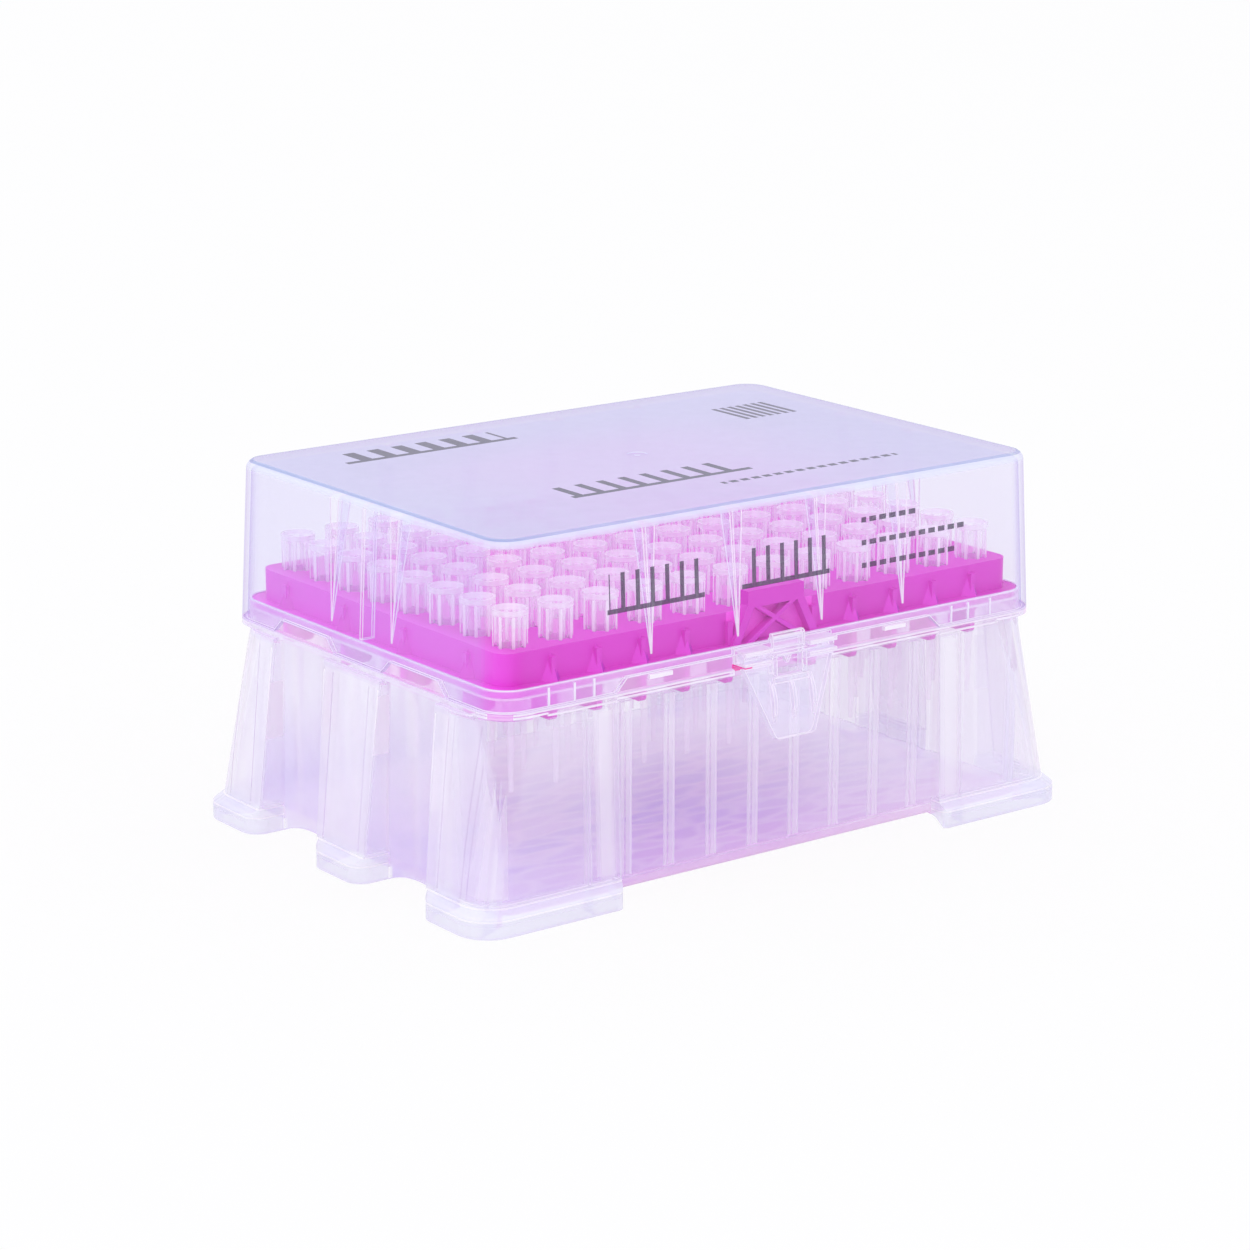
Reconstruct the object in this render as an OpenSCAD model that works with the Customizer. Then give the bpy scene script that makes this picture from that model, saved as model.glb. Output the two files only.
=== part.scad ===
// Hinged-lid box holding an 8 by 12 rack of small pipette tips.
// Origin: centre of the footprint, on the table. +X along the box, -Y is the latch side, +Z up. Millimetres.

/* [Tip grid] */
// Distance between neighbouring tips
pitch = 9; // [8.6:0.1:11]

/* [Box] */
// Height of the rack plate's top face above the table
plate_z = 44.5; // [36:0.5:60]
// From the outermost tip centres to the box's outer face
box_margin = 7.6; // [7.4:0.1:12]
// Thickness of the box walls
box_wall = 1; // [0.9:0.1:1.5]
// Outer radius of the box's upright corners
box_corner_r = 5; // [3.5:0.5:7]
// Radius along the box's bottom edges
box_bottom_r = 1; // [0.8:0.1:2]
// Thickness of the box floor
floor_t = 1.6; // [1:0.1:2]
// Height of the box's underside above the table
box_lift = 1.9; // [1:0.1:3]
// Drop from the rack plate's top to the box rim
rim_drop = 5.2; // [4:0.1:8]
// Thickness of the thin lip outside the rack's flange
rim_lip = 0.45; // [0.4:0.05:0.5]
// Drop from the rim to the ledge the lid stands on
ledge_drop = 3.6; // [3:0.1:6]
// Thickness of the ledge
ledge_t = 0.9; // [0.6:0.1:1.6]
// Height of the slope under the ledge
ledge_slope = 0.6; // [0.3:0.1:1.2]
// Width of the upright flutes inside the walls
flute_w = 2.4; // [1.5:0.1:4]
// How far the flutes stand off the wall
flute_d = 0.5; // [0.3:0.1:1.2]
// Spacing of the flutes as a share of the tip spacing
flute_share = 0.985; // [0.97:0.005:1]

/* [Legs] */
// Spread of the foot beyond the box at each end
foot_out_x = 6.7; // [5:0.1:10]
// Spread of the foot beyond the box at front and back
foot_out_y = 3.7; // [3:0.1:8]
// Corner radius of the foot
foot_r = 6; // [4:0.5:8]
// Corner radius of the foot beside the recesses in the ends
foot_end_r = 3.2; // [1.5:0.1:4]
// Corner radius of the foot beside the recesses at front and back
foot_front_r = 1.5; // [1.5:0.1:3]
// Height of the foot's upright edge
foot_h = 2.9; // [2.5:0.1:6]
// Height of the fine line round the foot
foot_line_z = 2.1; // [1.2:0.1:2.3]
// Height of the slope from the foot to the leg skin
shoulder_h = 1.6; // [1:0.1:3]
// Leg skin's spread beyond the box under the ledge, at each end
skin_top_x = 2.2; // [1.3:0.1:3]
// Leg skin's spread beyond the box under the ledge, front and back
skin_top_y = 1.3; // [1.2:0.1:3]
// Corner radius of the leg skin under the ledge
skin_top_r = 12; // [8:0.5:14]
// Leg skin's spread beyond the box at its bottom, at each end
skin_low_x = 5.1; // [3:0.1:6]
// Leg skin's spread beyond the box at its bottom, front and back
skin_low_y = 2.4; // [1.8:0.1:3.5]
// Thickness of the leg skins and their side walls
leg_wall = 1.1; // [0.8:0.1:1.4]
// Length of a corner leg along the front
corner_leg_x = 29.2; // [18:0.2:36]
// Length of a corner leg along the end
corner_leg_y = 17.3; // [12:0.1:20]
// Width of the leg in the middle of each end, at its foot
mid_leg_w = 14.4; // [8:0.2:20]
// How far the walls beside the end recesses lean into them by the ledge
recess_lean = 1.2; // [0:0.1:2]
// From a corner leg's side wall to the thin web inside it
web_inset = 5.2; // [3:0.1:9]
// Thickness of the webs inside the legs
web_t = 0.8; // [0.5:0.1:1.2]

/* [Lid] */
// Height of the lid from its skirt to its top face
lid_h = 27.9; // [24:0.1:45]
// Thickness of the lid's walls
lid_wall = 0.9; // [0.7:0.1:1.4]
// Thickness of the lid's top
lid_top_t = 1.2; // [0.8:0.1:2]
// How far each lid wall leans in by the top
lid_draft = 1.3; // [0.5:0.1:2.5]
// Corner radius of the lid's skirt
lid_corner_r = 5.8; // [4:0.1:8]
// Radius of the lid's top edge
lid_edge_r = 1.4; // [0.8:0.1:2]
// Gap between the lid's skirt and the box rim
lid_gap = 0.3; // [0.3:0.05:0.6]
// Gap between the skirt and the ledge under it
lid_seat = 0.1; // [0.05:0.05:0.3]
// Height of the notches in the skirt
notch_h = 2.3; // [1.5:0.1:3]
// How far a notch's sloped ends reach
notch_flare = 2.4; // [1:0.1:4]
// Depth of the stiffening ribs inside the lid
rib_d = 2.6; // [1.5:0.1:3]
// Width of the tapered ribs at the top
rib_w = 2.8; // [1.5:0.1:4]
// Thickness of the straight ribs in the middle of each end
end_rib_t = 0.9; // [0.6:0.1:1.5]

/* [Rack] */
// From the end tip centres to the rack plate's end
rack_margin_x = 5; // [4.4:0.1:5.2]
// From the side tip centres to the rack plate's side
rack_margin_y = 4.8; // [4.4:0.1:5]
// Corner radius of the rack plate
rack_corner_r = 2.8; // [1.5:0.1:4]
// Thickness of the rack plate
rack_plate_t = 1.5; // [1:0.1:2.5]
// Thickness of the rack's skirt
rack_wall = 1.2; // [0.8:0.1:2]
// Thickness of the flange that sits in the box rim
flange_t = 1.2; // [0.8:0.1:2]
// Gap between the flange and the lip around it
flange_gap = 0.15; // [0.1:0.05:0.3]
// Thickness of the fins under the gussets
fin_t = 1.1; // [0.7:0.1:1.6]
// Inward depth of the fins
fin_d = 5.6; // [3:0.1:6]
// Drop of the fins' lower edges below the plate top
fin_drop = 12; // [9:0.1:16]
// Reach of the gussets at the flange
gusset_out = 2; // [1:0.1:2]
// Half-width of the braced frame's top bar
frame_top_hx = 6; // [4:0.1:8]
// Half-width of the braced frame at the flange
frame_low_hx = 9.2; // [6:0.1:12]
// Height of the braced frame above the plate
frame_rise = 3.4; // [1.5:0.1:5]
// Width of the frame's bars
frame_bar = 1.3; // [0.8:0.1:2]
// Height of the frame's top bar
frame_top_h = 2.9; // [1.5:0.1:3.2]
// Thickness of the braced frame
frame_t = 2; // [1.9:0.1:2.2]

/* [Tips] */
// Height of a tip above the rack plate
tip_rise = 6.15; // [4:0.05:8]
// Depth of a tip below the rack plate's top
tip_drop = 24.65; // [18:0.05:30]
// Radius of the tip's rim
tip_rim_r = 2.98; // [2.6:0.02:3.4]
// Height of the tip's rim
tip_rim_h = 0.85; // [0.4:0.05:1.5]
// Radius over the tip's fins
tip_fin_r = 2.88; // [2.5:0.02:3.2]
// Thickness of the tip's fins
tip_fin_t = 0.5; // [0.3:0.05:0.8]
// Depth of the funnel inside the tip's rim
tip_funnel = 2.1; // [1.4:0.1:3]
// How far the collar stands beyond the shank
tip_step = 0.2; // [0.15:0.05:0.3]
// Wall of the tip's shank
tip_wall = 0.45; // [0.3:0.05:0.6]
// Radius of the tip's shank at the plate
tip_shank_r = 1.95; // [1.6:0.05:2.35]
// Radius where the shank's cone ends
tip_neck_r = 0.8; // [0.6:0.05:1]
// Radius of the tip's point
tip_point_r = 0.38; // [0.3:0.02:0.5]
// Running gap between the shank and its hole in the rack
tip_hole_gap = 0.12; // [0.1:0.02:0.2]

/* [Latch] */
// Radius of the latch's cross pin
pin_r = 0.8; // [0.65:0.05:1]
// Radial clearance of the pin in its sockets
pin_gap = 0.05; // [0.03:0.01:0.1]
// Distance of the pin's centre in front of the box
pin_out = 1.9; // [1.9:0.05:2.3]
// Drop from the rim to the pin's centre
pin_drop = 1.8; // [1.8:0.05:2]
// Wall of the sockets around the pin
socket_wall = 0.5; // [0.4:0.05:0.8]
// Gap between the sockets' top and the lid's skirt
socket_top_gap = 0.25; // [0.2:0.05:0.5]
// Opening of the socket's mouth as a share of the pin's width
mouth_share = 0.7; // [0.5:0.05:0.85]
// Half-length of the gap between the two sockets
socket_in = 4; // [3:0.1:5]
// Outer ends of the sockets
socket_out = 9.9; // [8:0.1:13]
// Half-width of the hook
hook_hx = 3.45; // [2.5:0.05:3.6]
// Height of the lip on the lid that the hook holds
strike_h = 0.9; // [0.6:0.1:1.2]
// Height of the hook above the rim
hook_rise = 1.6; // [1:0.1:3]
// Thickness of the thumb tab
tab_t = 1.1; // [0.8:0.1:1.6]
// Half-width of the tab at its top
tab_top_hx = 9.6; // [7:0.1:12]
// Half-width of the tab at its bottom
tab_low_hx = 4.2; // [3:0.1:7]
// Length of the tab
tab_len = 12.7; // [9:0.1:16]
// Outward lean of the tab
tab_lean = 10; // [6:0.5:14]
// Half-width of the window in the latch
window_hx = 2.6; // [1.5:0.1:2.8]
// Height of the window in the latch
window_h = 3.4; // [2:0.1:4]

/* [Hinge] */
// Distance of the hinge axis behind the box
hinge_out = 3; // [2.9:0.05:4]
// Drop of the hinge axis below the ledge
hinge_drop = 0.4; // [0.3:0.05:1]
// Outer radius of the knuckles
knuckle_r = 1.75; // [1.45:0.05:2.1]
// Radius of the hinge pins
hinge_pin_r = 0.9; // [0.7:0.05:1]
// Radial clearance of the pins
hinge_pin_gap = 0.05; // [0.03:0.01:0.1]
// Distance of each hinge from the middle of the back
hinge_x = 23.75; // [18:0.25:26]
// Length of the lid's knuckle
lid_knuckle_l = 5.9; // [4:0.1:8]
// Length of each of the box's knuckles
box_knuckle_l = 3.5; // [2:0.1:5]
// Side gap between knuckles
knuckle_gap = 0.3; // [0.2:0.05:0.6]

/* [Hidden] */
columns = 12;
rows = 8;
tip_fins = 8;
eps = 0.01;
far = 200;
clear_r = 0.3;

// fine details: the foot's line, and the guides' places from the end of the foot
line_w = 0.25;
line_d = 0.12;
guides_x = [16.4, 21.5, 25.4];
guide_w = 0.4;
guide_d = lid_gap / 4;
$fn = 48;

// tip grid half-spans
half_x = (columns - 1) * pitch / 2;
half_y = (rows - 1) * pitch / 2;

// box
box_hx = half_x + box_margin;
box_hy = half_y + box_margin;
rim_z = plate_z - rim_drop;
ledge_z = rim_z - ledge_drop;
under_z = ledge_z - ledge_t;
floor_z = box_lift + floor_t;
cavity_hx = box_hx - box_wall;
cavity_hy = box_hy - box_wall;
cavity_r = box_corner_r - box_wall;
seat_z = rim_z - flange_t - 0.2;
lip_hx = box_hx - rim_lip;
lip_hy = box_hy - rim_lip;
lip_r = box_corner_r - rim_lip;

// legs
foot_hx = box_hx + foot_out_x;
foot_hy = box_hy + foot_out_y;
skin_low_z = foot_h + shoulder_h;
leg_x = foot_hx - corner_leg_x;
leg_y = foot_hy - corner_leg_y;
mid_y = mid_leg_w / 2;

// lid
lid_z = ledge_z + lid_seat;
lid_top = lid_z + lid_h;
lid_hx = box_hx + lid_gap + lid_wall;
lid_hy = box_hy + lid_gap + lid_wall;
notch_x = leg_x - notch_flare + 0.2;
notch_y_in = mid_y + notch_flare - 0.2;
notch_y_out = leg_y - notch_flare + 0.4;

// rack
rack_hx = half_x + rack_margin_x;
rack_hy = half_y + rack_margin_y;
fin_gap = 0.8;
flange_z = seat_z + flange_t;
gusset_z = plate_z - 0.7;
frame_hy = rack_hy + frame_t - 0.2;
hole_r = tip_shank_r + tip_hole_gap;

// tips
collar_r = tip_shank_r + tip_step;

// latch and hinge
pin_y = -(box_hy + pin_out);
pin_z = rim_z - pin_drop;
socket_r = pin_r + pin_gap;
jaw = socket_r + socket_wall;
skirt_low_z = lid_z + notch_h;
strike_z = pin_z + jaw + socket_top_gap;
tab_z = pin_z - jaw - 0.25;
hook_in = lid_hy + 0.25;
hinge_y = box_hy + hinge_out;
hinge_z = ledge_z - hinge_drop;

// ---- helpers ----

// half-size of the lid's outer face at a height, from its size at the skirt
function lid_at(half, z) = half - lid_draft * (z - lid_z) / lid_h;

// repeatable scatter that turns each tip a little differently
function turn_of(col, row) = (col * 37 + row * 61 + col * row * 13) % 45;

// rounded rectangle given by its half-sizes
module round_rect(hx, hy, r) {
    square([2 * hx, 2 * (hy - r)], center = true);
    square([2 * (hx - r), 2 * hy], center = true);
    for (sx = [-1, 1]) {
        for (sy = [-1, 1]) {
            translate([sx * (hx - r), sy * (hy - r)]) circle(r);
        }
    }
}

module slab(hx, hy, r, z0, z1) {
    translate([0, 0, z0]) linear_extrude(z1 - z0) round_rect(hx, hy, r);
}

// a (Y, Z) outline run along X, and an (X, Z) outline run along Y
module along_x(x0, x1) {
    translate([x0, 0, 0]) rotate([90, 0, 90]) linear_extrude(x1 - x0) children();
}

module along_y(y0, y1) {
    translate([0, y1, 0]) rotate([90, 0, 0]) linear_extrude(y1 - y0) children();
}

// the same feature on both sides
module both_x() {
    children();
    mirror([1, 0, 0]) children();
}

module both_y() {
    children();
    mirror([0, 1, 0]) children();
}

// ---- box ----

// upright sides with rounded bottom edges: three runs of the profile crossed
module box_body() {
    intersection() {
        slab(box_hx, box_hy, box_corner_r, box_lift, rim_z);
        along_y(-far, far) rounded_bottom(box_hx);
        along_x(-far, far) rounded_bottom(box_hy);
    }
}

module rounded_bottom(half) {
    translate([-half, box_lift + box_bottom_r]) square([2 * half, rim_z]);
    translate([-half + box_bottom_r, box_lift]) square([2 * (half - box_bottom_r), rim_z]);
    for (s = [-1, 1]) {
        translate([s * (half - box_bottom_r), box_lift + box_bottom_r]) circle(box_bottom_r);
    }
}

module box_cavity() {
    slab(cavity_hx, cavity_hy, cavity_r, floor_z, rim_z + 1);
    slab(lip_hx, lip_hy, lip_r, seat_z, rim_z + 1);
}

module ledge() {
    slab(lid_hx, lid_hy, lid_corner_r, under_z, ledge_z);
    hull() {
        $fn = 32;
        slab(lid_hx, lid_hy, lid_corner_r, under_z, under_z + eps);
        slab(box_hx, box_hy, box_corner_r, under_z - ledge_slope, under_z - ledge_slope + eps);
    }
}

// what rounding takes off a square corner that stands at the origin
module spandrel(r) {
    difference() {
        translate([-eps, -eps]) square(r + eps);
        translate([r, r]) circle(r);
    }
}

// the legs' outer form as one ring round the box, drawn in by the wall for their hollows, down to a height
module leg_ring(inset, z_low) {
    top_z = under_z - inset;
    slope_z = skin_low_z - inset / 2;
    slope_low = foot_h - inset / 2;
    hull() {
        $fn = 32;
        slab(box_hx + skin_top_x - inset, box_hy + skin_top_y - inset, skin_top_r - inset, top_z - eps, top_z);
        slab(box_hx + skin_low_x - inset, box_hy + skin_low_y - inset, foot_r - inset, slope_z, slope_z + eps);
    }
    hull() {
        $fn = 32;
        slab(box_hx + skin_low_x - inset, box_hy + skin_low_y - inset, foot_r - inset, slope_z, slope_z + eps);
        slab(foot_hx - inset, foot_hy - inset, foot_r - inset, slope_low - eps, slope_low);
    }
    slab(foot_hx - inset, foot_hy - inset, foot_r - inset, z_low, slope_low);
}

// what the recesses take from the ring: at the ends their side walls lean in towards the ledge
module recesses(inset) {
    both_x() both_y() along_x(-1, far) polygon([
        [mid_y - inset, -2], [leg_y + inset, -2], [leg_y + inset, skin_low_z],
        [leg_y + inset - recess_lean, under_z], [leg_y + inset - recess_lean, rim_z],
        [mid_y - inset + recess_lean, rim_z], [mid_y - inset + recess_lean, under_z], [mid_y - inset, skin_low_z]
    ]);
    translate([-leg_x - inset, -far, -2]) cube([2 * (leg_x + inset), 2 * far, rim_z]);
}

// what the foot's rounded corners beside the recesses take
module foot_corners(inset) {
    x = foot_hx - inset;
    both_x() both_y() translate([0, 0, -2]) linear_extrude(skin_low_z + 2) {
        translate([x, leg_y + inset]) rotate(90) spandrel(foot_end_r - inset);
        translate([x, mid_y - inset]) rotate(180) spandrel(foot_end_r - inset);
        translate([leg_x + inset, foot_hy - inset]) rotate(-90) spandrel(foot_front_r - inset);
    }
}

// plan of the webs and the box, which the hollows stop at
module hollow_stops() {
    round_rect(box_hx, box_hy, box_corner_r);
    both_x() both_y() {
        translate([leg_x + web_inset, box_hy - 1]) square([web_t, foot_out_y + 2]);
        corner_web();
    }
}

// diagonal web from the box's corner to the leg's corner
module corner_web() {
    reach = foot_out_x + foot_r;
    translate([box_hx - box_corner_r / 2, box_hy - box_corner_r / 2]) {
        rotate(atan2(skin_low_y, skin_low_x)) translate([0, -web_t / 2]) square([reach, web_t]);
    }
}

module legs_outside() {
    difference() {
        leg_ring(0, 0);
        recesses(0);
        foot_corners(0);
        slab(box_hx, box_hy, box_corner_r, -1, box_lift);
        foot_line();
    }
}

// fine groove round the outside of the feet
module foot_line() {
    difference() {
        slab(foot_hx + 1, foot_hy + 1, foot_r + 1, foot_line_z, foot_line_z + line_w);
        slab(foot_hx - line_d, foot_hy - line_d, foot_r - line_d, foot_line_z - 1, foot_line_z + 1);
    }
}

module legs_inside() {
    difference() {
        leg_ring(leg_wall, -1);
        recesses(leg_wall);
        foot_corners(leg_wall);
        translate([0, 0, -2]) linear_extrude(rim_z) hollow_stops();
    }
}

// radius of the arc that rises by the box's lift over a reach
function sweep_r(reach) = (reach * reach + box_lift * box_lift) / (2 * box_lift);

// the side walls' lower edges at front and back sweep up from the foot to the box
module side_wall_sweeps() {
    r = sweep_r(foot_out_y - leg_wall / 2);
    both_y() intersection() {
        along_x(-far, far) translate([box_hy, box_lift - r]) circle(r);
        translate([0, box_hy, -eps]) linear_extrude(box_lift + 1) {
            both_x() translate([leg_x - eps, 0]) square([leg_wall + 2 * eps, foot_out_y]);
        }
    }
}

// walls under the box's ends, arched between the legs
module end_arches() {
    half = (leg_y - mid_y) / 2;
    r = sweep_r(half);
    both_x() both_y() along_x(box_hx - leg_wall, box_hx) translate([mid_y + half, 0]) difference() {
        translate([-half - leg_wall / 2, 0]) square([2 * half + leg_wall, box_lift + box_bottom_r]);
        translate([0, box_lift - r]) circle(r);
    }
}

// plan of one upright flute on a wall whose inner face is at y = wall
module flute(wall) {
    crest = flute_w / 2 - flute_d / 2;
    translate([0, 0, floor_z - eps]) linear_extrude(plate_z - fin_drop + 1 - floor_z) polygon([
        [-flute_w / 2, wall], [-flute_w / 2, wall + box_wall / 2],
        [flute_w / 2, wall + box_wall / 2], [flute_w / 2, wall],
        [crest, wall - flute_d], [-crest, wall - flute_d]
    ]);
}

// upright flutes on the inside of the walls, about one to each tip column and row
module flutes() {
    for (i = [2 : columns - 3]) {
        translate([(i * pitch - half_x) * flute_share, 0, 0]) flute(cavity_hy);
    }
    for (j = [1 : rows - 2]) {
        translate([0, j * pitch - half_y, 0]) rotate([0, 0, -90]) flute(cavity_hx);
    }
}

// the two open-fronted sockets the latch's pin snaps into
module latch_sockets() {
    both_x() {
        along_x(socket_in, socket_out) difference() {
            translate([pin_y - jaw, pin_z - jaw]) square([jaw + pin_out + 0.5, 2 * jaw]);
            translate([pin_y, pin_z]) circle(socket_r);
            translate([pin_y - far, pin_z - mouth_share * pin_r]) square([far, 2 * mouth_share * pin_r]);
        }
    }
}

// box's hinge knuckle outline: an eye on a sloped bracket
module box_knuckle() {
    difference() {
        union() {
            translate([hinge_y, hinge_z]) circle(knuckle_r);
            polygon([
                [box_hy - 0.2, hinge_z - 2.4 * knuckle_r],
                [box_hy - 0.2, hinge_z - 0.1],
                [hinge_y, hinge_z],
                [hinge_y + knuckle_r * cos(50), hinge_z - knuckle_r * sin(50)]
            ]);
        }
        translate([hinge_y, hinge_z]) circle(hinge_pin_r + hinge_pin_gap);
    }
}

module box_knuckles() {
    start = lid_knuckle_l / 2 + knuckle_gap;
    both_x() {
        along_x(hinge_x + start, hinge_x + start + box_knuckle_l) box_knuckle();
        along_x(hinge_x - start - box_knuckle_l, hinge_x - start) box_knuckle();
    }
}

// small bars under the front notch that the lid's skirt snaps past
module snap_beads() {
    both_x() translate([notch_x - 9.6, -box_hy - 0.5, skirt_low_z - 1.2]) cube([4.7, 1, 0.7]);
}

// thin upright ribs at the front of the rim that centre the lid's skirt
module skirt_guides() {
    both_x() {
        for (x = guides_x) {
            translate([foot_hx - x - guide_w / 2, -box_hy - guide_d, ledge_z - eps]) {
                cube([guide_w, guide_d + 0.3, rim_z - ledge_z - 0.5]);
            }
        }
    }
}

module base() {
    color([0.93, 0.88, 0.96, 0.45]) {
        difference() {
            union() {
                box_body();
                ledge();
                legs_outside();
                end_arches();
                latch_sockets();
                box_knuckles();
                snap_beads();
                skirt_guides();
            }
            box_cavity();
            legs_inside();
            side_wall_sweeps();
            // the ledge stops short behind the latch
            translate([-socket_out - 0.5, -box_hy - 9.5, under_z - ledge_slope - 0.1]) {
                cube([2 * socket_out + 1, 9, ledge_t + ledge_slope + 0.2]);
            }
            // room for the lid's knuckles to turn
            both_x() along_x(hinge_x - lid_knuckle_l / 2 - knuckle_gap, hinge_x + lid_knuckle_l / 2 + knuckle_gap) {
                translate([hinge_y, hinge_z]) circle(knuckle_r + clear_r);
            }
        }
        both_x() both_y() flutes();
    }
}

// ---- lid ----

module lid_shell(inset, z_low, z_top, edge_r) {
    steps = 4;
    hull() {
        $fn = 40;
        slab(lid_hx - inset, lid_hy - inset, lid_corner_r - inset, z_low, z_low + eps);
        for (k = [0 : steps]) {
            a = 90 * k / steps;
            z = z_top - edge_r + edge_r * sin(a);
            in = inset + edge_r * (1 - cos(a));
            slab(lid_at(lid_hx, z) - in, lid_at(lid_hy, z) - in, lid_corner_r - 1 - in, z - eps, z);
        }
    }
}

// a rib that tapers to a point: two triangles crossed
module lid_rib(half) {
    top = lid_top - lid_top_t / 2;
    low = rim_z + 1.3;
    mid = lid_wall / 2;
    intersection() {
        along_y(-far, far) polygon([
            [lid_at(half, top) - mid, top],
            [lid_at(half, top) - lid_wall - rib_d, top],
            [lid_at(half, low) - lid_wall + 0.05, low],
            [lid_at(half, low) - mid, low]
        ]);
        along_x(0, far) polygon([[-rib_w / 2, top], [rib_w / 2, top], [0.15, low], [-0.15, low]]);
    }
}

// the straight rib in the middle of each end
module lid_end_rib() {
    top = lid_top - lid_top_t / 2;
    low = rim_z + 0.4;
    depth = rib_d - 0.3;
    along_y(-end_rib_t / 2, end_rib_t / 2) polygon([
        [lid_at(lid_hx, top) - lid_wall / 2, top],
        [lid_at(lid_hx, top) - lid_wall - depth, top],
        [lid_at(lid_hx, low) - lid_wall - depth, low],
        [lid_at(lid_hx, low) - lid_wall / 2, low]
    ]);
}

module notch_outline(a, b) {
    polygon([
        [a, skirt_low_z], [b, skirt_low_z],
        [b + notch_flare, lid_z - 0.01], [b + notch_flare, lid_z - 1],
        [a - notch_flare, lid_z - 1], [a - notch_flare, lid_z - 0.01]
    ]);
}

// lid's hinge knuckle outline: an eye hanging from an arm on the skirt
module lid_knuckle() {
    inner = lid_hy - lid_wall / 2;
    translate([hinge_y, hinge_z]) circle(knuckle_r);
    polygon([
        [inner, hinge_z + 1.2 * knuckle_r],
        [inner, hinge_z + 3.6 * knuckle_r],
        [hinge_y + knuckle_r * cos(25), hinge_z + knuckle_r * sin(25)],
        [hinge_y, hinge_z],
        [hinge_y - knuckle_r * cos(45), hinge_z + knuckle_r * sin(45)]
    ]);
}

module lid() {
    pin_l = lid_knuckle_l / 2 + knuckle_gap + box_knuckle_l;
    ear_in = lid_knuckle_l / 2 - 0.05;
    color([0.86, 0.86, 0.98, 0.35]) {
        difference() {
            union() {
                difference() {
                    lid_shell(0, lid_z, lid_top, lid_edge_r);
                    lid_shell(lid_wall, lid_z - eps, lid_top - lid_top_t, lid_edge_r - lid_wall / 2);
                }
                both_x() {
                    for (y = [-pitch, pitch]) {
                        translate([0, y, 0]) lid_rib(lid_hx);
                    }
                    lid_end_rib();
                }
                for (x = [-3 * pitch, -pitch, pitch, 3 * pitch]) {
                    both_y() translate([x, 0, 0]) rotate([0, 0, 90]) lid_rib(lid_hy);
                }
                // lip that the latch's hook holds
                translate([-hook_hx + 0.25, -lid_hy - 0.2, strike_z]) cube([2 * hook_hx - 0.5, 0.8, strike_h]);
                both_x() along_x(hinge_x - lid_knuckle_l / 2, hinge_x + lid_knuckle_l / 2) lid_knuckle();
            }
            // notches in the skirt, on the ends and along the front
            both_y() along_x(-far, far) notch_outline(notch_y_in, notch_y_out);
            along_y(-far, 0) notch_outline(-notch_x, notch_x);
            translate([-socket_out - 0.4, -far, strike_z - far]) cube([2 * socket_out + 0.8, far, far]);
            // room for the box's knuckles
            both_x() {
                for (s = [-1, 1]) {
                    start = s > 0 ? ear_in : -ear_in - knuckle_gap - box_knuckle_l - clear_r;
                    along_x(hinge_x + start, hinge_x + start + knuckle_gap + box_knuckle_l + clear_r) {
                        translate([hinge_y, hinge_z]) circle(knuckle_r + clear_r);
                    }
                }
            }
            // gate mark
            translate([0, 0, lid_top - 0.2]) cylinder(r = 1.8, h = 1);
        }
        both_x() along_x(hinge_x - pin_l, hinge_x + pin_l) translate([hinge_y, hinge_z]) circle(hinge_pin_r);
        translate([0, 0, lid_top - 0.25]) cylinder(r = 0.6, h = 0.2);
    }
}

// ---- latch ----

// tab outline seen from the front, hanging below its top edge
module tab_outline() {
    corner = 1.4;
    slope = atan2(tab_top_hx - tab_low_hx, tab_len);
    back = corner * tan((90 - slope) / 2);
    polygon([
        [-tab_top_hx, 0], [tab_top_hx, 0],
        [tab_low_hx + back * sin(slope), -tab_len + back * cos(slope)],
        [tab_low_hx - back, -tab_len],
        [-tab_low_hx + back, -tab_len],
        [-tab_low_hx - back * sin(slope), -tab_len + back * cos(slope)]
    ]);
    for (s = [-1, 1]) {
        translate([s * (tab_low_hx - back), -tab_len + corner]) circle(corner);
    }
}

// grip ribs: slices of a disc standing out of the tab's face
module grip_ribs() {
    long = 7;
    high = 0.8;
    disc_r = (long * long / 4 + high * high) / (2 * high);
    for (x = [-tab_low_hx, 0, tab_low_hx]) {
        intersection() {
            along_x(x - 0.4, x + 0.4) translate([disc_r - high, -2.6 - long / 2]) circle(disc_r);
            translate([-far / 2, -high - 1, -tab_len]) cube([far, 1.3 + high, tab_len]);
        }
    }
}

module latch() {
    tab_y = pin_y - 0.65;
    window_top = pin_z - 0.35;
    window_low = window_top - window_h;
    out = pin_r - 0.05;
    color([0.92, 0.92, 0.97, 0.4]) {
        difference() {
            union() {
                translate([0, tab_y, tab_z]) rotate([-tab_lean, 0, 0]) {
                    along_y(0, tab_t) tab_outline();
                    grip_ribs();
                    // bar under the window
                    along_y(-0.4, 0.2) translate([-window_hx - 1.2, -3.4]) square([2 * window_hx + 2.4, 1.1]);
                }
                // arms beside the window, up to the pin
                along_x(-window_hx - 1.2, window_hx + 1.2) polygon([
                    [pin_y + pin_r - 0.3, pin_z + 0.4],
                    [pin_y - out, pin_z + 0.4],
                    [pin_y - out - 0.2, window_low + 0.3],
                    [pin_y + 0.3, window_low + 0.3]
                ]);
                hook();
            }
            translate([-window_hx, pin_y - 4, window_low]) cube([2 * window_hx, 8, window_h]);
        }
        along_x(-socket_out + 0.2, socket_out - 0.2) translate([pin_y, pin_z]) circle(pin_r);
        // pointed tongue in the window
        along_y(pin_y - 0.35, pin_y + 0.35) polygon([
            [-1.15, window_top + 0.1], [1.15, window_top + 0.1], [0.2, window_top - 1.6], [-0.2, window_top - 1.6]
        ]);
    }
}

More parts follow.
